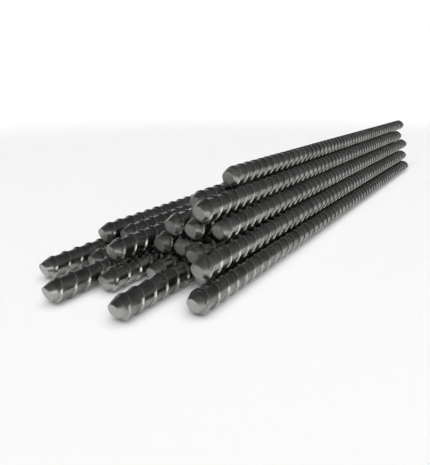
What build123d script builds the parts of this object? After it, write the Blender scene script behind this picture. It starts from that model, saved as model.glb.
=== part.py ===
from build123d import *
from math import cos, radians, sin
import os

# A heap of ribbed reinforcing bars of one size, lying parallel on a level floor.
# Millimetres, +Z up, the bars along Y. The origin is on the floor, under the middle of the heap.

# One bar. Its diameter is taken over the ribs, because neighbours touch on their ribs.
bar_length = 1000
bar_diameter = 28.8
end_face_diameter = 17.6
end_face_lean = radians(13)
end_taper_length = 9.5

# The heap. Each row lies in the valleys of the row below, so the centres form 60 degree triangles.
bar_gap = 0.4
bar_pitch = bar_diameter + bar_gap
row_rise = bar_pitch * sin(radians(60))

# How far each bar's near end lies behind the foremost bar of the heap.
# A row is read from the heap's straight right-hand side towards the left.
setbacks_by_row = {
    "floor_row": (73, 125, 18, 103, 54, 0, 85, 34),
    "second_row": (99, 127, 139, 134, 81, 130, 117),
    "third_row": (159, 143, 140),
    "fourth_row": (141, 172),
    "top_bar": (224,),
}

# The middle of the heap, measured from the axis of the right-hand floor bar and the foremost face.
floor_bar_count = len(setbacks_by_row["floor_row"])
middle_x = -(floor_bar_count - 1) * bar_pitch / 2
heap_length = bar_length + max(max(setbacks) for setbacks in setbacks_by_row.values())
middle_y = heap_length / 2

# One bar, with its axis along Y and the middle of its near end face at the origin.
# Both ends are sheared on a slant, with the near face's top edge foremost, and taper down to the cut.
end_tilt = Vector(0, cos(end_face_lean), sin(end_face_lean))
sections = (
    (0, end_face_diameter),
    (end_taper_length, bar_diameter),
    (bar_length - end_taper_length, bar_diameter),
    (bar_length, end_face_diameter),
)
with BuildPart() as bar:
    for y, diameter in sections:
        with BuildSketch(Plane(origin=(0, y, 0), x_dir=(1, 0, 0), z_dir=end_tilt)):
            Ellipse(diameter / 2, diameter / 2 / cos(end_face_lean))
    loft(ruled=True)


def bar_places(row, setbacks):
    """Where the near ends of one row's bars lie. Row 0 is on the floor."""
    z = bar_diameter / 2 + row * row_rise
    right_x = -row * bar_pitch / 2 - middle_x
    return [
        (right_x - column * bar_pitch, setback - middle_y, z)
        for column, setback in enumerate(setbacks)
    ]


os.makedirs("parts", exist_ok=True)

for row, (name, setbacks) in enumerate(setbacks_by_row.items()):
    with BuildPart() as bar_row:
        with Locations(*bar_places(row, setbacks)):
            add(bar.part)
    bar_row.part.label = name
    export_step(bar_row.part, f"parts/{name}.step")
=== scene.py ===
import bpy
import bmesh
import math
from mathutils import Matrix, Vector


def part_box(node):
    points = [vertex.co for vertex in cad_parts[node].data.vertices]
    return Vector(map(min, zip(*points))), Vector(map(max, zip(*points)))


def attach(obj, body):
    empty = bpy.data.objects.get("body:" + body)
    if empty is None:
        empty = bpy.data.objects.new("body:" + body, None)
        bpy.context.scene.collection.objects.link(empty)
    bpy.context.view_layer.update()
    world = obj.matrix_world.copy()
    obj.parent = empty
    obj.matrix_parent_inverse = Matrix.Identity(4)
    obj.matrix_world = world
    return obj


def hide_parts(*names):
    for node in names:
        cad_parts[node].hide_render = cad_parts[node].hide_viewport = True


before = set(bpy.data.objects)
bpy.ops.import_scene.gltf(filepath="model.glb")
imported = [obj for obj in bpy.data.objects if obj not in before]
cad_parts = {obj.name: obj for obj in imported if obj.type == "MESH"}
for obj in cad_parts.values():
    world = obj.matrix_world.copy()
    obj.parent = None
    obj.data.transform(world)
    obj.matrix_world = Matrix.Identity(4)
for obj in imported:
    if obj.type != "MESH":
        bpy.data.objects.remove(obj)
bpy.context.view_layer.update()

bl_info = {
    "name": "Heap of Ribbed Bars",
    "version": (1, 0, 0),
    "blender": (4, 5, 0),
    "location": "3D View > Sidebar > Rebar",
    "description": "Dresses the heap's plain bars with rolled ribs, cut ends and mill steel",
    "category": "Object",
}

ROWS = ("floor_row", "second_row", "third_row", "fourth_row", "top_bar")
MM = 0.001


# Settings


class RebarSizes(bpy.types.PropertyGroup):
    """Sizes of one rolled bar."""

    core_diameter: bpy.props.FloatProperty(
        name="Core Diameter",
        description="Across the plain steel between two ribs",
        default=25.6 * MM, min=0.0, unit="LENGTH", precision=4,
    )
    rib_height: bpy.props.FloatProperty(
        name="Rib Height",
        description="How far a rib stands out of the core",
        default=1.6 * MM, min=0.0, unit="LENGTH", precision=4,
    )
    rib_spacing: bpy.props.FloatProperty(
        name="Rib Spacing",
        description="From one rib's crest to the next, fitted to a whole number of ribs on the bar",
        default=19.0 * MM, min=0.005, unit="LENGTH", precision=4,
    )
    first_rib: bpy.props.FloatProperty(
        name="First Rib",
        description="From the middle of the near cut face to the first crest",
        default=9.4 * MM, min=0.0, unit="LENGTH", precision=4,
    )
    foot_width: bpy.props.FloatProperty(
        name="Rib Foot Width",
        description="Width of a rib where it leaves the core",
        default=4.6 * MM, min=0.001, unit="LENGTH", precision=4,
    )
    crest_width: bpy.props.FloatProperty(
        name="Rib Crest Width",
        description="Width of the flat on top of a rib",
        default=1.0 * MM, min=0.0, unit="LENGTH", precision=4,
    )
    rib_lean: bpy.props.FloatProperty(
        name="Rib Lean",
        description="Angle between a rib and a square section of the bar",
        default=math.radians(23.3), subtype="ANGLE",
    )
    face_diameter: bpy.props.FloatProperty(
        name="Cut Face Diameter",
        description="Across the flat cut face on the end of the bar",
        default=17.6 * MM, min=0.0, unit="LENGTH", precision=4,
    )
    face_lean: bpy.props.FloatProperty(
        name="Cut Face Lean",
        description="Angle between a cut face and a square section of the bar",
        default=math.radians(-13.0), subtype="ANGLE",
    )
    taper_length: bpy.props.FloatProperty(
        name="End Taper Length",
        description="Length over which the end narrows to its cut face, at the height of the axis",
        default=6.8 * MM, min=0.001, unit="LENGTH", precision=4,
    )
    taper_swing: bpy.props.FloatProperty(
        name="Taper Swing",
        description="How much longer the near taper is on top than at the axis, and shorter underneath",
        default=0.88, min=0.0, max=0.9, subtype="FACTOR",
    )
    sides: bpy.props.IntProperty(
        name="Sides",
        description="Number of faces round a bar",
        default=44, min=12, max=96,
    )


class RebarFinish(bpy.types.PropertyGroup):
    """Colours of the rolled steel."""

    scale_dark: bpy.props.FloatVectorProperty(
        name="Dark Mill Scale",
        description="The darkest patches of the rolled skin",
        default=(0.158, 0.160, 0.152), subtype="COLOR", min=0.0, max=1.0,
    )
    scale_light: bpy.props.FloatVectorProperty(
        name="Light Mill Scale",
        description="The lightest patches of the rolled skin",
        default=(0.305, 0.308, 0.294), subtype="COLOR", min=0.0, max=1.0,
    )
    rubbed_steel: bpy.props.FloatVectorProperty(
        name="Rubbed Steel",
        description="The crests of the ribs, where the scale is rubbed away",
        default=(0.515, 0.517, 0.495), subtype="COLOR", min=0.0, max=1.0,
    )
    cut_steel: bpy.props.FloatVectorProperty(
        name="Cut Steel",
        description="The cut faces on the ends",
        default=(0.398, 0.400, 0.384), subtype="COLOR", min=0.0, max=1.0,
    )


class RebarStage(bpy.types.PropertyGroup):
    """The floor, the light and the camera."""

    floor_colour: bpy.props.FloatVectorProperty(
        name="Floor Colour",
        description="Colour of the floor under the heap",
        default=(0.95, 0.95, 0.95), subtype="COLOR", min=0.0, max=1.0,
    )
    sky_level: bpy.props.FloatProperty(
        name="Sky Level",
        description="Brightness of the plain light from all round",
        default=0.25, min=0.0, max=2.0,
    )
    lamp_level: bpy.props.FloatProperty(
        name="Lamp Level",
        description="Strength of the wide soft sun overhead",
        default=2.4, min=0.0, max=20.0,
    )
    fill_level: bpy.props.FloatProperty(
        name="Fill Level",
        description="Strength of the dim light that has no shadows",
        default=0.2, min=0.0, max=5.0,
    )
    front_level: bpy.props.FloatProperty(
        name="Front Level",
        description="Power of the soft box beside the camera, which the ribs' flanks mirror",
        default=13.0, min=0.0, max=500.0, unit="POWER",
    )


# Node writing


# How far apart the nodes are laid out.
COLUMN_WIDTH = 220
ROW_HEIGHT = 190

# The Mix node's sockets for colours, which share their names with those for numbers.
MIX_FIRST = 6
MIX_SECOND = 7
MIX_RESULT = 2


class Wiring:
    """Writes a node tree, a column at a time from left to right."""

    def __init__(self, tree):
        self.tree = tree
        self.column = 0
        self.row = 0

    def next_column(self):
        self.column += 1
        self.row = 0

    def put(self, kind, inputs=None, **settings):
        """Adds a node. An input is given a socket to link or a plain value."""
        made = self.tree.nodes.new(kind)
        made.location = (self.column * COLUMN_WIDTH, -self.row * ROW_HEIGHT)
        self.row += 1
        for name, value in settings.items():
            setattr(made, name, value)
        for name, value in (inputs or {}).items():
            if isinstance(value, bpy.types.NodeSocket):
                self.tree.links.new(value, made.inputs[name])
            else:
                made.inputs[name].default_value = value
        return made

    def math(self, operation, *values):
        """One Math node on up to three numbers or sockets."""
        return self.put("ShaderNodeMath", dict(enumerate(values)), operation=operation).outputs[0]

    def spread(self, value, from_low, from_high, to_low, to_high, smooth=False):
        """One Map Range node, clamped at both ends."""
        ends = {
            "Value": value,
            "From Min": from_low, "From Max": from_high,
            "To Min": to_low, "To Max": to_high,
        }
        kind = "SMOOTHSTEP" if smooth else "LINEAR"
        return self.put("ShaderNodeMapRange", ends, interpolation_type=kind).outputs[0]

    def blend(self, factor, first, second):
        """One Mix node, from the first colour at a factor of 0 to the second at 1."""
        colours = {"Factor": factor, MIX_FIRST: first, MIX_SECOND: second}
        made = self.put("ShaderNodeMix", colours, data_type="RGBA", clamp_factor=True)
        return made.outputs[MIX_RESULT]

    def noise(self, place, scale, detail, roughness=0.5):
        """One Noise Texture node, larger scales being finer."""
        settings = {"Vector": place, "Scale": scale, "Detail": detail, "Roughness": roughness}
        return self.put("ShaderNodeTexNoise", settings).outputs[0]


def new_socket(tree, name, kind, default=None, out=False):
    """Adds a named input or output to a node tree's interface."""
    side = "OUTPUT" if out else "INPUT"
    made = tree.interface.new_socket(name=name, in_out=side, socket_type="NodeSocket" + kind)
    if default is not None:
        made.default_value = default
    return made


# The sizes that both node groups take, each with its default. Lengths are in metres.
SIZE_INPUTS = (
    ("Core Radius", 0.0128),
    ("Rib Height", 0.0016),
    ("Rib Spacing", 0.019),
    ("First Rib", 0.0094),
    ("Foot Width", 0.0046),
    ("Crest Width", 0.001),
    ("Rib Slope", 0.43),
    ("Face Radius", 0.0088),
    ("Face Slope", -0.231),
    ("Taper Length", 0.0068),
    ("Taper Swing", 0.88),
)

# Rings counted from a rib's crest: its edge, its foot and the middle of the gap.
EDGE_STEP = 1
FOOT_STEP = 3
GAP_STEP = 4

# Rings from the cut face to the first rib's foot, and from the face's middle out to its rim.
TAPER_RINGS = 14
FACE_RINGS = 4

# How far down the bar's side, as the sine of the turn, the near taper goes on getting shorter, and
# how gently it stops.
LEAST_SWING = -0.6
SWING_EASE = 0.3

# Lengths in metres: the round where a rib meets the taper, the depth of cut that bares the steel,
# the least step between rings behind the cut face, and how near two points are before they are one.
MEETING_ROUND = 0.0008
BARING_DEPTH = 0.0015
LEAST_STEP = 0.00006
WELD_DISTANCE = 0.00002

# How bare the taper gets where it is cut deepest. The cut face counts as 1.
TAPER_BARENESS = 0.5

# Edges that turn by less than this are shaded smooth.
CREASE_ANGLE = math.radians(30)


def skin_tree():
    """A group that gives each point of the bar's skin its place.

    Ring is where the point's ring crosses the bar's axis, and Slope how much the ring leans.
    The radius is the core's with the ribs on it, cut down by the taper of the end."""
    tree = bpy.data.node_groups.new("Bar Skin", "GeometryNodeTree")
    new_socket(tree, "Ring", "Float")
    new_socket(tree, "Slope", "Float")
    new_socket(tree, "Turn", "Float")
    for name, default in SIZE_INPUTS:
        new_socket(tree, name, "Float", default)
    new_socket(tree, "Position", "Vector", out=True)
    new_socket(tree, "Relief", "Float", out=True)
    new_socket(tree, "Pinch", "Float", out=True)

    w = Wiring(tree)
    given = w.put("NodeGroupInput").outputs
    w.next_column()
    sine = w.math("SINE", given["Turn"])
    cosine = w.math("COSINE", given["Turn"])
    w.next_column()
    height = w.math("MULTIPLY", sine, given["Core Radius"])

    # Distance from the nearest rib's crest, measured in the ribs' own slant.
    w.next_column()
    extra_slope = w.math("SUBTRACT", given["Slope"], given["Rib Slope"])
    along = w.math("MULTIPLY_ADD", extra_slope, height, given["Ring"])
    w.next_column()
    half = w.math("MULTIPLY", given["Rib Spacing"], 0.5)
    from_rib = w.math("SUBTRACT", along, given["First Rib"])
    wrapped = w.math("WRAP", from_rib, half, w.math("MULTIPLY", half, -1.0))
    off_crest = w.math("ABSOLUTE", wrapped)

    # A rib has flat flanks from its foot up to the flat of its crest.
    w.next_column()
    crest_half = w.math("MULTIPLY", given["Crest Width"], 0.5)
    foot_half = w.math("MULTIPLY", given["Foot Width"], 0.5)
    relief = w.spread(off_crest, crest_half, foot_half, 1.0, 0.0)
    ribbed = w.math("MULTIPLY_ADD", relief, given["Rib Height"], given["Core Radius"])

    # The taper goes by the distance from the cut face along the bar. It is longest on top, and
    # underneath it stays long enough to leave no brim round the face.
    w.next_column()
    from_face_slope = w.math("SUBTRACT", given["Slope"], given["Face Slope"])
    from_face = w.math("MULTIPLY_ADD", from_face_slope, height, given["Ring"])
    rise = w.math("SUBTRACT", given["Core Radius"], given["Face Radius"])
    w.next_column()
    upward = w.math("SMOOTH_MAX", sine, LEAST_SWING, SWING_EASE)
    swing = w.math("MULTIPLY_ADD", upward, given["Taper Swing"], 1.0)
    taper = w.math("MULTIPLY", swing, given["Taper Length"])
    w.next_column()
    cone = w.math("MULTIPLY_ADD", w.math("DIVIDE", from_face, taper), rise, given["Face Radius"])
    w.next_column()
    radius = w.math("SMOOTH_MIN", ribbed, cone, MEETING_ROUND)
    w.next_column()
    x = w.math("MULTIPLY", radius, cosine)
    z = w.math("MULTIPLY", radius, sine)
    y = w.math("MULTIPLY_ADD", given["Slope"], z, given["Ring"])
    w.next_column()
    place = w.put("ShaderNodeCombineXYZ", {"X": x, "Y": y, "Z": z})
    w.next_column()
    pinch = w.spread(w.math("SUBTRACT", ribbed, cone), 0.0, BARING_DEPTH, 0.0, 1.0)
    w.next_column()
    w.put("NodeGroupOutput", {"Position": place.outputs[0], "Relief": relief, "Pinch": pinch})
    return tree


def flat_skin(w, given, rings):
    """A grid to be rolled up into skin.

    Gives the grid, each point's ring counted from 0, and its turn round the bar."""
    w.next_column()
    grid = w.put(
        "GeometryNodeMeshGrid",
        {"Size X": 1.0, "Size Y": 1.0, "Vertices X": rings, "Vertices Y": given["Sides"]},
    )
    here = w.put("GeometryNodeInputPosition")
    w.next_column()
    apart = w.put("ShaderNodeSeparateXYZ", {0: here.outputs[0]})
    w.next_column()
    count = w.math("MULTIPLY", w.math("ADD", apart.outputs["X"], 0.5), float(rings - 1))
    turn = w.math("MULTIPLY", w.math("ADD", apart.outputs["Y"], 0.5), math.tau)
    return grid.outputs["Mesh"], count, turn


def past_crest(w, given, step):
    """How far along the bar a ring lies past its rib's crest."""
    w.next_column()
    crest_half = w.math("MULTIPLY", given["Crest Width"], 0.5)
    foot_half = w.math("MULTIPLY", given["Foot Width"], 0.5)
    gap_half = w.math("MULTIPLY", given["Rib Spacing"], 0.5)
    w.next_column()
    size = w.math("ABSOLUTE", step)
    crest = w.spread(size, 0.0, EDGE_STEP, 0.0, crest_half)
    flank = w.spread(size, EDGE_STEP, FOOT_STEP, 0.0, w.math("SUBTRACT", foot_half, crest_half))
    plain = w.spread(size, FOOT_STEP, GAP_STEP, 0.0, w.math("SUBTRACT", gap_half, foot_half))
    w.next_column()
    off = w.math("ADD", w.math("ADD", crest, flank), plain)
    return w.math("MULTIPLY", off, w.math("SIGN", step))


def keep_value(w, grid, name, value):
    """Keeps a number on each point of a mesh, for the steel to read."""
    return w.put(
        "GeometryNodeStoreNamedAttribute",
        {"Geometry": grid, "Name": name, "Value": value}, data_type="FLOAT", domain="POINT",
    ).outputs["Geometry"]


def roll_up(w, given, skin, grid, ring, slope, turn, swing):
    """Gives a flat skin its shape.

    Each point keeps how high it stands on a rib, and how bare it is."""
    w.next_column()
    sizes = {name: given[name] for name, _ in SIZE_INPUTS}
    point = {"Ring": ring, "Slope": slope, "Turn": turn}
    placed = w.put("GeometryNodeGroup", {**sizes, **point, "Taper Swing": swing}, node_tree=skin)
    bare = w.math("MULTIPLY", placed.outputs["Pinch"], TAPER_BARENESS)
    for name, value in (("relief", placed.outputs["Relief"]), ("cut", bare)):
        w.next_column()
        grid = keep_value(w, grid, name, value)
    w.next_column()
    shaped = {"Geometry": grid, "Position": placed.outputs["Position"]}
    return w.put("GeometryNodeSetPosition", shaped).outputs[0]


def end_skin(w, given, skin, swing):
    """An end's skin: rings turn from the cut face's slant to the ribs', then cross the first rib."""
    grid, count, turn = flat_skin(w, given, TAPER_RINGS + FOOT_STEP + GAP_STEP + 1)
    w.next_column()
    on_rib = w.math("MAXIMUM", count, float(TAPER_RINGS))
    past = past_crest(w, given, w.math("SUBTRACT", on_rib, float(TAPER_RINGS + FOOT_STEP)))
    share = w.spread(count, 0.0, float(TAPER_RINGS), 0.0, 1.0)
    w.next_column()
    ring = w.math("MULTIPLY", share, w.math("ADD", given["First Rib"], past))
    extra = w.math("MULTIPLY", share, w.math("SUBTRACT", given["Rib Slope"], given["Face Slope"]))
    slope = w.math("ADD", extra, given["Face Slope"])

    # Underneath, the leaning rib runs out through the cut, so its rings stay just behind the face.
    w.next_column()
    height = w.math("MULTIPLY", w.math("SINE", turn), given["Core Radius"])
    from_face = w.math("MULTIPLY_ADD", extra, height, ring)
    least = w.math("MULTIPLY", count, LEAST_STEP)
    w.next_column()
    short = w.math("MAXIMUM", w.math("SUBTRACT", least, from_face), 0.0)
    ring = w.math("ADD", ring, short)
    return roll_up(w, given, skin, grid, ring, slope, turn, swing)


def rib_skin(w, given, skin):
    """One rib in the run of the bar, from the middle of one gap to the middle of the next."""
    grid, count, turn = flat_skin(w, given, 2 * GAP_STEP + 1)
    past = past_crest(w, given, w.math("SUBTRACT", count, float(GAP_STEP)))
    w.next_column()
    second_rib = w.math("ADD", given["First Rib"], given["Rib Spacing"])
    ring = w.math("ADD", second_rib, past)
    return roll_up(w, given, skin, grid, ring, given["Rib Slope"], turn, given["Taper Swing"])


def cut_face(w, given):
    """The flat cut face on an end, from its middle out to its rim."""
    grid, count, turn = flat_skin(w, given, FACE_RINGS + 1)
    w.next_column()
    radius = w.math("MULTIPLY", w.math("MULTIPLY", count, 1.0 / FACE_RINGS), given["Face Radius"])
    w.next_column()
    x = w.math("MULTIPLY", radius, w.math("COSINE", turn))
    z = w.math("MULTIPLY", radius, w.math("SINE", turn))
    y = w.math("MULTIPLY", z, given["Face Slope"])
    w.next_column()
    place = w.put("ShaderNodeCombineXYZ", {"X": x, "Y": y, "Z": z})
    bare = keep_value(w, grid, "cut", 1.0)
    w.next_column()
    flat = {"Geometry": bare, "Position": place.outputs[0]}
    return w.put("GeometryNodeSetPosition", flat).outputs[0]


def bar_tree():
    """Geometry Nodes for one whole ribbed bar along +Y, from the near cut face at the origin."""
    skin = skin_tree()
    tree = bpy.data.node_groups.new("Ribbed Bar", "GeometryNodeTree")
    new_socket(tree, "Bar Length", "Float", 1.0)
    for name, default in SIZE_INPUTS:
        new_socket(tree, name, "Float", default)
    new_socket(tree, "Sides", "Int", 45)
    new_socket(tree, "Ribs Between Ends", "Int", 50)
    new_socket(tree, "Steel", "Material")
    new_socket(tree, "Geometry", "Geometry", out=True)

    w = Wiring(tree)
    given = w.put("NodeGroupInput").outputs
    face = cut_face(w, given)
    one_rib = rib_skin(w, given, skin)
    ends = []
    for swing in (given["Taper Swing"], 0.0):
        skin_of_end = end_skin(w, given, skin, swing)
        w.next_column()
        end = w.put("GeometryNodeJoinGeometry")
        for piece in (skin_of_end, face):
            tree.links.new(piece, end.inputs[0])
        ends.append(end.outputs[0])
    near_end, plain_end = ends

    # The far end tapers evenly all round. It is turned over, head to tail and upside down.
    w.next_column()
    reach = w.put("ShaderNodeCombineXYZ", {"Y": given["Bar Length"]})
    step = w.put("ShaderNodeCombineXYZ", {"Y": given["Rib Spacing"]})
    w.next_column()
    far_end = w.put(
        "GeometryNodeTransform",
        {"Geometry": plain_end, "Translation": reach.outputs[0], "Rotation": (math.pi, 0.0, 0.0)},
    )
    stations = w.put(
        "GeometryNodeMeshLine",
        {"Count": given["Ribs Between Ends"], "Offset": step.outputs[0]},
    )
    w.next_column()
    ribs = w.put(
        "GeometryNodeInstanceOnPoints",
        {"Points": stations.outputs[0], "Instance": one_rib},
    )
    w.next_column()
    joined = w.put("GeometryNodeJoinGeometry")
    for piece in (far_end.outputs[0], near_end, ribs.outputs[0]):
        tree.links.new(piece, joined.inputs[0])
    w.next_column()
    real = w.put("GeometryNodeRealizeInstances", {0: joined.outputs[0]})
    w.next_column()
    welded = w.put(
        "GeometryNodeMergeByDistance",
        {"Geometry": real.outputs[0], "Distance": WELD_DISTANCE},
    )

    # Flanks, crests and cut faces keep crisp edges.
    w.next_column()
    smooth = w.put(
        "GeometryNodeSetShadeSmooth",
        {"Geometry": welded.outputs[0], "Shade Smooth": True}, domain="FACE",
    )
    w.next_column()
    angle = w.put("GeometryNodeInputMeshEdgeAngle")
    blunt = w.put(
        "FunctionNodeCompare",
        {0: angle.outputs[0], 1: CREASE_ANGLE}, data_type="FLOAT", operation="LESS_THAN",
    )
    w.next_column()
    creased = w.put(
        "GeometryNodeSetShadeSmooth",
        {"Geometry": smooth.outputs[0], "Shade Smooth": blunt.outputs[0]}, domain="EDGE",
    )
    w.next_column()
    real_again = w.put("GeometryNodeRealizeInstances", {0: creased.outputs[0]})
    w.next_column()
    painted = w.put(
        "GeometryNodeSetMaterial",
        {"Geometry": real_again.outputs[0], "Material": given["Steel"]},
    )
    w.next_column()
    w.put("NodeGroupOutput", {"Geometry": painted.outputs[0]})
    return tree


# Steel


# Streaks in the mill scale are drawn out along the bar, and scores on a cut face from top to bottom.
STREAK_STRETCH = (1.0, 0.08, 1.0)
SCORE_STRETCH = (1.0, 1.0, 0.2)

# The darkest and the lightest scores on a cut face, as shares of its colour.
SCORED_DARK = 0.78
SCORED_LIGHT = 1.12

# Roughness of the darkest and the lightest mill scale, and what rubbing and cutting add to it.
DARK_ROUGHNESS = 0.26
LIGHT_ROUGHNESS = 0.18
RUBBED_CHANGE = -0.05
CUT_CHANGE = 0.18

# How metallic a cut face is. The rest of the bar counts as 1.
CUT_METAL = 0.55

# How much the grains, the pits and the streaks each count in the bumps.
GRAIN_SHARE = 0.6
PIT_SHARE = 0.25
STREAK_SHARE = 0.35


def rolled_steel(finish):
    """Rolled steel under dark mill scale, rubbed bright on the crests and bare on the cut ends.

    The frame brings a plain material named bar_steel, so this one has a name of its own."""
    steel = bpy.data.materials.new("rolled_steel")
    steel.use_nodes = True
    tree = steel.node_tree
    tree.nodes.clear()
    w = Wiring(tree)
    place = w.put("ShaderNodeTexCoord").outputs["Object"]
    relief = w.put("ShaderNodeAttribute", attribute_name="relief").outputs["Fac"]
    cut = w.put("ShaderNodeAttribute", attribute_name="cut").outputs["Fac"]

    w.next_column()
    streaked = w.put("ShaderNodeMapping", {"Vector": place, "Scale": STREAK_STRETCH}).outputs[0]
    w.next_column()
    patches = w.noise(place, scale=38.0, detail=5.0, roughness=0.62)
    streaks = w.noise(streaked, scale=420.0, detail=3.0, roughness=0.6)
    grains = w.noise(place, scale=900.0, detail=4.0, roughness=0.65)
    pits = w.put("ShaderNodeTexVoronoi", {"Vector": place, "Scale": 420.0}).outputs["Distance"]

    w.next_column()
    patchy = w.spread(patches, 0.36, 0.66, 0.0, 1.0)
    streaky = w.spread(streaks, 0.35, 0.7, -0.18, 0.22)
    grainy = w.spread(grains, 0.35, 0.7, -0.12, 0.14)
    w.next_column()
    tone = w.math("ADD", w.math("ADD", patchy, streaky), grainy)
    w.next_column()
    mill_scale = w.blend(tone, (*finish.scale_dark, 1.0), (*finish.scale_light, 1.0))

    # The crests lose their scale first, more in some places than in others.
    w.next_column()
    crest = w.spread(relief, 0.45, 1.0, 0.0, 1.0, smooth=True)
    rubbing = w.spread(grains, 0.38, 0.62, 0.45, 1.0)
    rubbed = w.math("MULTIPLY", crest, rubbing)
    w.next_column()
    worn = w.blend(rubbed, mill_scale, (*finish.rubbed_steel, 1.0))

    w.next_column()
    sheared = w.put("ShaderNodeMapping", {"Vector": place, "Scale": SCORE_STRETCH}).outputs[0]
    scored = w.noise(sheared, scale=900.0, detail=3.0)
    w.next_column()
    face_tone = w.spread(scored, 0.3, 0.7, 0.0, 1.0)
    face_dark = (*(c * SCORED_DARK for c in finish.cut_steel), 1.0)
    face_light = (*(c * SCORED_LIGHT for c in finish.cut_steel), 1.0)
    face_colour = w.blend(face_tone, face_dark, face_light)
    w.next_column()
    colour = w.blend(cut, worn, face_colour)

    w.next_column()
    rough_skin = w.spread(tone, -0.1, 1.1, DARK_ROUGHNESS, LIGHT_ROUGHNESS)
    rough_worn = w.math("MULTIPLY_ADD", rubbed, RUBBED_CHANGE, rough_skin)
    rough = w.math("MULTIPLY_ADD", cut, CUT_CHANGE, rough_worn)
    metal = w.spread(cut, 0.5, 1.0, 1.0, CUT_METAL)

    w.next_column()
    dimple = w.spread(pits, 0.0, 0.55, 0.0, 1.0)
    grain_height = w.math("MULTIPLY", grains, GRAIN_SHARE)
    skin_height = w.math("ADD", grain_height, w.math("MULTIPLY", dimple, PIT_SHARE))
    height = w.math("ADD", skin_height, w.math("MULTIPLY", streaks, STREAK_SHARE))
    w.next_column()
    bump = w.put("ShaderNodeBump", {"Strength": 0.35, "Distance": 0.00035, "Height": height})
    w.next_column()
    shader = w.put(
        "ShaderNodeBsdfPrincipled",
        {"Base Color": colour, "Metallic": metal, "Roughness": rough, "Normal": bump.outputs[0]},
    )
    w.next_column()
    w.put("ShaderNodeOutputMaterial", {"Surface": shader.outputs[0]})
    return steel


# Pieces


def bars_in(node):
    """The solids in one CAD node, from the right, as (x, z, near y, far y) of each bar's axis."""
    shell = bmesh.new()
    shell.from_mesh(node.data)
    bmesh.ops.remove_doubles(shell, verts=shell.verts, dist=1e-6)
    left = set(shell.verts)
    found = []
    while left:
        island = [left.pop()]
        for vert in island:
            for edge in vert.link_edges:
                other = edge.other_vert(vert)
                if other in left:
                    left.remove(other)
                    island.append(other)
        xs, ys, zs = zip(*(v.co for v in island))
        found.append(((min(xs) + max(xs)) / 2, (min(zs) + max(zs)) / 2, min(ys), max(ys)))
    shell.free()
    return sorted(found, reverse=True)


def set_inputs(modifier, values):
    """Sets a Geometry Nodes modifier's inputs, each by its socket's identifier."""
    for item in modifier.node_group.interface.items_tree:
        if item.item_type == "SOCKET" and item.in_out == "INPUT" and item.name in values:
            modifier[item.identifier] = values[item.name]


def bar_mesh(name, length, sizes, steel):
    """One ribbed bar as a plain mesh, made by the Ribbed Bar nodes."""
    ribbed_length = length - 2 * sizes.first_rib
    gaps = round(ribbed_length / sizes.rib_spacing)
    maker = bpy.data.objects.new(name + "_maker", bpy.data.meshes.new(name + "_blank"))
    bpy.context.scene.collection.objects.link(maker)
    nodes = maker.modifiers.new("Ribbed Bar", "NODES")
    nodes.node_group = bpy.data.node_groups.get("Ribbed Bar") or bar_tree()
    set_inputs(nodes, {
        "Bar Length": length,
        "Core Radius": sizes.core_diameter / 2,
        "Rib Height": sizes.rib_height,
        "Rib Spacing": ribbed_length / gaps,
        "First Rib": sizes.first_rib,
        "Foot Width": sizes.foot_width,
        "Crest Width": sizes.crest_width,
        "Rib Slope": math.tan(sizes.rib_lean),
        "Face Radius": sizes.face_diameter / 2,
        "Face Slope": math.tan(sizes.face_lean),
        "Taper Length": sizes.taper_length,
        "Taper Swing": sizes.taper_swing,
        "Sides": sizes.sides + 1,
        "Ribs Between Ends": gaps - 1,
        "Steel": steel,
    })
    graph = bpy.context.evaluated_depsgraph_get()
    mesh = bpy.data.meshes.new_from_object(
        maker.evaluated_get(graph), preserve_all_data_layers=True, depsgraph=graph,
    )
    bpy.data.objects.remove(maker)
    mesh.name = name
    mesh.materials.clear()
    mesh.materials.append(steel)
    mesh.polygons.foreach_set("material_index", [0] * len(mesh.polygons))
    return mesh


class REBAR_OT_lay_bars(bpy.types.Operator):
    """Lay ribbed bars over every bar of one row of the heap"""

    bl_idname = "rebar.lay_bars"
    bl_label = "Lay Ribbed Bars"
    bl_options = {"REGISTER", "UNDO"}

    row: bpy.props.StringProperty(
        name="Row",
        description="The row of the heap to dress",
        default="floor_row",
    )

    def execute(self, context):
        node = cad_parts.get(self.row)
        if node is None:
            raise RuntimeError(f"the heap has no row named {self.row}")
        sizes = context.scene.rebar_sizes
        finish = context.scene.rebar_finish
        steel = bpy.data.materials.get("rolled_steel") or rolled_steel(finish)
        overhang = sizes.face_diameter / 2 * abs(math.tan(sizes.face_lean))
        for number, (x, z, near, far) in enumerate(bars_in(node), 1):
            mesh = bar_mesh(f"{self.row}_bar_{number}", far - near - 2 * overhang, sizes, steel)
            mesh.transform(Matrix.Translation((x, near + overhang, z)))
            bar = bpy.data.objects.new(mesh.name, mesh)
            context.scene.collection.objects.link(bar)
            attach(bar, "root")
            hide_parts(self.row)
        return {"FINISHED"}


# Stage


WHITE = (1.0, 1.0, 1.0, 1.0)

# How far from the heap's middle the floor starts to fade into even white, and has wholly done so.
FLOOR_FADE = (1.2, 2.6)

# The sky's level by the height of a direction, and by how far the direction lies to +X. Each line
# holds two places and the levels there.
SKY_BY_HEIGHT = (0.0, 0.9, 1.0, 0.45)
SKY_ACROSS = (-0.6, 0.7, 0.55, 1.25)

# The white band of background. Heights run from 0 at the horizon to 1 overhead. Towards the dark
# side the band's top sinks to the horizon: it starts to where a direction has the first share of
# that side, and is down where it has the second.
BAND_HEIGHT = 0.19
BAND_FADE = 0.11
DARK_SIDE = (0.848, 0.53, 0.0)
DARK_SHARES = (0.40, 0.85)

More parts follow.
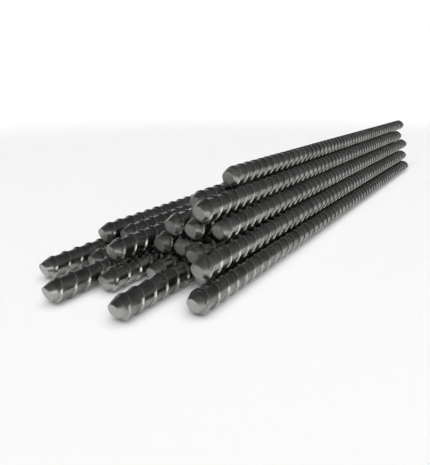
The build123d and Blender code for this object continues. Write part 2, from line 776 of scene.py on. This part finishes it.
# The photo's camera: its place from the right-hand floor bar's axis, the foremost cut face and the
# floor, how many degrees it looks down and to the left, and its focal length and picture height in
# pixels.
CAMERA_PLACE = (0.2308, -0.2112, 0.2279)
CAMERA_DOWN = 19.81
CAMERA_LEFT = 35.33
FOCAL_PIXELS = 402.4
PICTURE_PIXELS = 465.0
SENSOR_MM = 36.0

# Half of the bar's thickness over its ribs.
OUTER_RADIUS = 0.0144


def floor_mesh(radius=14.0, ring_share=0.4, parts=96):
    """A flat round floor, reaching almost to the horizon."""
    shell = bmesh.new()
    middle = shell.verts.new((0.0, 0.0, 0.0))
    inner = [middle] * parts
    for r in (ring_share * radius, radius):
        turns = [k * math.tau / parts for k in range(parts)]
        outer = [shell.verts.new((r * math.cos(a), r * math.sin(a), 0.0)) for a in turns]
        for k in range(parts):
            n = (k + 1) % parts
            corners = dict.fromkeys((inner[k], outer[k], outer[n], inner[n]))
            shell.faces.new(tuple(corners))
        inner = outer
    mesh = bpy.data.meshes.new("studio_floor")
    shell.to_mesh(mesh)
    shell.free()
    return mesh


def seeing_rays(w):
    """1 for camera, glossy and transmission rays, which see the white background, and 0 for others."""
    ray = w.put("ShaderNodeLightPath")
    seen = w.math("ADD", ray.outputs["Is Camera Ray"], ray.outputs["Is Glossy Ray"])
    seen = w.math("ADD", seen, ray.outputs["Is Transmission Ray"])
    return w.math("MINIMUM", seen, 1.0)


def floor_paint(stage):
    """Matt white that fades, away from the heap, into an even white background."""
    paint = bpy.data.materials.new("studio_white")
    paint.use_nodes = True
    tree = paint.node_tree
    tree.nodes.clear()
    w = Wiring(tree)
    place = w.put("ShaderNodeTexCoord").outputs["Object"]
    w.next_column()
    away = w.put("ShaderNodeVectorMath", {0: place}, operation="LENGTH").outputs["Value"]
    seen = seeing_rays(w)
    w.next_column()
    fade = w.spread(away, *FLOOR_FADE, 0.0, 1.0, smooth=True)
    even = w.math("MULTIPLY", fade, seen)
    w.next_column()
    matt = w.put("ShaderNodeBsdfDiffuse", {"Color": (*stage.floor_colour, 1.0)})
    glow = w.put("ShaderNodeEmission", {"Color": WHITE, "Strength": 1.0})
    w.next_column()
    mixed = w.put("ShaderNodeMixShader", {0: even, 1: matt.outputs[0], 2: glow.outputs[0]})
    w.next_column()
    w.put("ShaderNodeOutputMaterial", {"Surface": mixed.outputs[0]})
    return paint


def studio_sky(stage):
    """A dim sky, darker overhead and on the heap's low side, over a low band of white background.

    The band sinks to the horizon beyond the heap's straight side. The bars mirror a dark room there."""
    world = bpy.data.worlds.new("studio_sky")
    world.use_nodes = True
    tree = world.node_tree
    tree.nodes.clear()
    w = Wiring(tree)
    way = w.put("ShaderNodeTexCoord").outputs["Generated"]
    w.next_column()
    apart = w.put("ShaderNodeSeparateXYZ", {0: way})
    aside = w.put("ShaderNodeVectorMath", {0: way, 1: DARK_SIDE}, operation="DOT_PRODUCT")
    seen = seeing_rays(w)
    w.next_column()
    low = w.spread(apart.outputs["Z"], *SKY_BY_HEIGHT)
    right = w.spread(apart.outputs["X"], *SKY_ACROSS)
    band_top = w.spread(aside.outputs["Value"], *DARK_SHARES, BAND_HEIGHT, 0.0, smooth=True)
    w.next_column()
    above = w.math("SUBTRACT", apart.outputs["Z"], band_top)
    band = w.spread(above, 0.0, BAND_FADE, 1.0, 0.0, smooth=True)
    w.next_column()
    sky = w.math("MULTIPLY", w.math("MULTIPLY", low, right), stage.sky_level)
    pale = w.math("MULTIPLY", band, seen)
    w.next_column()
    strength = w.math("MULTIPLY_ADD", pale, w.math("SUBTRACT", 1.0, sky), sky)
    w.next_column()
    glow = w.put("ShaderNodeBackground", {"Color": WHITE, "Strength": strength})
    w.next_column()
    w.put("ShaderNodeOutputWorld", {"Surface": glow.outputs[0]})
    return world


def hang_lamp(name, data, way):
    """Adds a lamp that shines on the heap from the given way."""
    lamp = bpy.data.objects.new(name, data)
    lamp.rotation_mode = "QUATERNION"
    lamp.rotation_quaternion = Vector(way).to_track_quat("Z", "Y")
    bpy.context.scene.collection.objects.link(lamp)
    return lamp


def soft_sun(name, way, width, level):
    """A wide sun that falls evenly on the whole floor. Polished steel doesn't mirror its disc."""
    data = bpy.data.lights.new(name, "SUN")
    data.angle = width
    data.energy = level
    hang_lamp(name, data, way).visible_glossy = False


def fill_light(name, way, width, level):
    """A very wide, dim light with no shadows, which lifts the gaps between the bars a little."""
    data = bpy.data.lights.new(name, "SUN")
    data.angle = width
    data.energy = level
    data.use_shadow = False
    data.cycles.use_multiple_importance_sampling = False
    hang_lamp(name, data, way)


def soft_box(name, way, distance, width, height, level):
    """An upright soft light that faces the heap from one side."""
    data = bpy.data.lights.new(name, "AREA")
    data.shape = "RECTANGLE"
    data.size = width
    data.size_y = height
    data.energy = level
    aim = Vector(way).normalized()
    hang_lamp(name, data, aim).location = aim * distance


class REBAR_OT_set_stage(bpy.types.Operator):
    """Set the floor, the soft light and the camera round the heap"""

    bl_idname = "rebar.set_stage"
    bl_label = "Set Stage"
    bl_options = {"REGISTER", "UNDO"}

    def execute(self, context):
        scene = context.scene
        stage = scene.rebar_stage

        floor = bpy.data.objects.new("studio_floor", floor_mesh())
        floor.data.materials.append(floor_paint(stage))
        scene.collection.objects.link(floor)

        scene.world = studio_sky(stage)
        soft_sun(
            "overhead_sun", way=(0.12, -0.10, 1.0),
            width=math.radians(80), level=stage.lamp_level,
        )
        fill_light(
            "gap_fill", way=(0.5, -0.6, 0.6),
            width=math.radians(160), level=stage.fill_level,
        )
        soft_box(
            "front_box", way=(0.66, -0.67, 0.34), distance=3.0,
            width=1.6, height=1.25, level=stage.front_level,
        )

        near_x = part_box("floor_row")[1].x
        near_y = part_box("floor_row")[0].y
        right, forward, up = CAMERA_PLACE
        lens = bpy.data.cameras.new("photo_camera")
        lens.lens = FOCAL_PIXELS / PICTURE_PIXELS * SENSOR_MM
        lens.clip_start = 0.01
        lens.clip_end = 60.0
        camera = bpy.data.objects.new("photo_camera", lens)
        camera.location = (near_x - OUTER_RADIUS + right, near_y + forward, up)
        camera.rotation_euler = (math.radians(90 - CAMERA_DOWN), 0.0, math.radians(CAMERA_LEFT))
        scene.collection.objects.link(camera)
        scene.camera = camera
        scene.view_settings.view_transform = "Standard"
        return {"FINISHED"}


class REBAR_PT_heap(bpy.types.Panel):
    """Lists the steps that dress the heap"""

    bl_label = "Rebar Heap"
    bl_idname = "REBAR_PT_heap"
    bl_space_type = "VIEW_3D"
    bl_region_type = "UI"
    bl_category = "Rebar"

    def draw(self, context):
        for row in ROWS:
            step = self.layout.operator("rebar.lay_bars", text=row.replace("_", " ").title())
            step.row = row
        self.layout.operator("rebar.set_stage")


CLASSES = (RebarSizes, RebarFinish, RebarStage, REBAR_OT_lay_bars, REBAR_OT_set_stage, REBAR_PT_heap)


def register():
    for cls in CLASSES:
        bpy.utils.register_class(cls)
    bpy.types.Scene.rebar_sizes = bpy.props.PointerProperty(type=RebarSizes)
    bpy.types.Scene.rebar_finish = bpy.props.PointerProperty(type=RebarFinish)
    bpy.types.Scene.rebar_stage = bpy.props.PointerProperty(type=RebarStage)


def unregister():
    del bpy.types.Scene.rebar_stage
    del bpy.types.Scene.rebar_finish
    del bpy.types.Scene.rebar_sizes
    for cls in reversed(CLASSES):
        bpy.utils.unregister_class(cls)


def main():
    register()
    for row in ROWS:
        bpy.ops.rebar.lay_bars(row=row)
    bpy.ops.rebar.set_stage()


if __name__ == "__main__":
    main()
